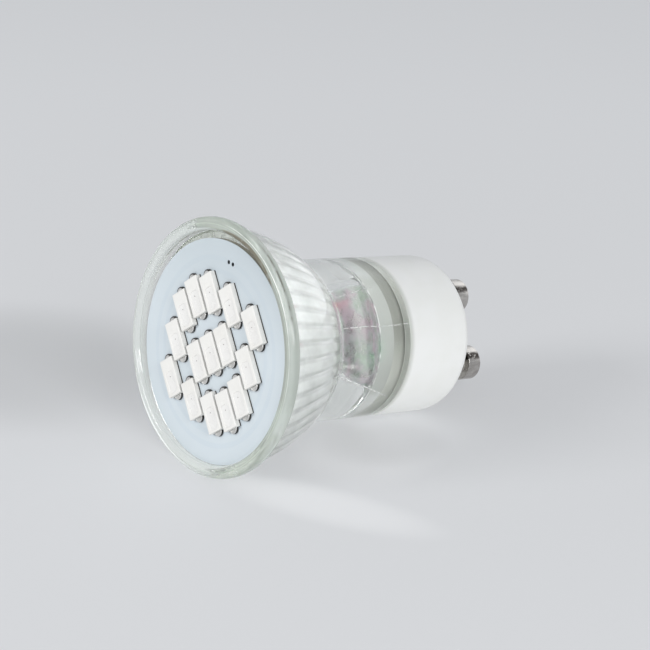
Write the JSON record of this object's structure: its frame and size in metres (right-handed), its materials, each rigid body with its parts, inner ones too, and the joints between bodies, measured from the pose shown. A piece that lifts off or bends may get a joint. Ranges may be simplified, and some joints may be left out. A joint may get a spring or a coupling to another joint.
{
  "type": "two-pin reflector spotlight bulb",
  "caption": "Small reflector spotlight bulb: faceted clear glass cup with an LED board in its rim, glass neck, white ceramic base and two headed twist-lock pins.",
  "frame": {"origin": "centre of the flat front of the glass rim", "axes": "+Z from the glass rim along the bulb's axis to the pins; the two pins stand one at each side on the Y axis; +X square to both"},
  "size_m": [0.035, 0.035, 0.048],
  "materials": {
    "clear_glass": "clear pressed glass with a faint green tint, polished",
    "board_white": "smooth bluish-white solder mask on aluminium",
    "led_white": "moulded warm-white housing, satin",
    "led_resin": "clear resin over a white cup, satin",
    "led_frame": "tinned lead frame",
    "cement": "grey-green cement, matte",
    "base_ceramic": "white steatite, smooth satin",
    "pin_nickel": "nickel plate, satin with fine turning marks",
    "driver_laminate": "pale uncoloured laminate",
    "component_black": "black moulded package",
    "choke_ferrite": "dark ferrite drum core",
    "capacitor_sleeve": "muted green shrink sleeve",
    "fuse_coat": "pale violet-grey lacquer",
    "wire_red": "red wire insulation",
    "wire_white": "white wire insulation",
    "tinned_lead": "tinned copper"
  },
  "bodies": {
    "root": {"base_cement": "cement", "bridge_rectifier": "component_black", "ceramic_base": "base_ceramic", "choke": "choke_ferrite", "contact_pin_left": "pin_nickel", "contact_pin_right": "pin_nickel", "driver_board": "driver_laminate", "driver_chip": "component_black", "feed_wire_red": "wire_red", "feed_wire_white": "wire_white", "fuse_resistor": "fuse_coat", "glass_reflector": "clear_glass", "led_board": "board_white", "led_housing_01": "led_white", "led_housing_02": "led_white", "led_housing_03": "led_white", "led_housing_04": "led_white", "led_housing_05": "led_white", "led_housing_06": "led_white", "led_housing_07": "led_white", "led_housing_08": "led_white", "led_housing_09": "led_white", "led_housing_10": "led_white", "led_housing_11": "led_white", "led_housing_12": "led_white", "led_housing_13": "led_white", "led_housing_14": "led_white", "led_housing_15": "led_white", "led_terminals_01": "led_frame", "led_terminals_02": "led_frame", "led_terminals_03": "led_frame", "led_terminals_04": "led_frame", "led_terminals_05": "led_frame", "led_terminals_06": "led_frame", "led_terminals_07": "led_frame", "led_terminals_08": "led_frame", "led_terminals_09": "led_frame", "led_terminals_10": "led_frame", "led_terminals_11": "led_frame", "led_terminals_12": "led_frame", "led_terminals_13": "led_frame", "led_terminals_14": "led_frame", "led_terminals_15": "led_frame", "led_window_01": "led_resin", "led_window_02": "led_resin", "led_window_03": "led_resin", "led_window_04": "led_resin", "led_window_05": "led_resin", "led_window_06": "led_resin", "led_window_07": "led_resin", "led_window_08": "led_resin", "led_window_09": "led_resin", "led_window_10": "led_resin", "led_window_11": "led_resin", "led_window_12": "led_resin", "led_window_13": "led_resin", "led_window_14": "led_resin", "led_window_15": "led_resin", "pin_leads": "tinned_lead", "smoothing_capacitor": "capacitor_sleeve"}
  },
  "joints": []
}
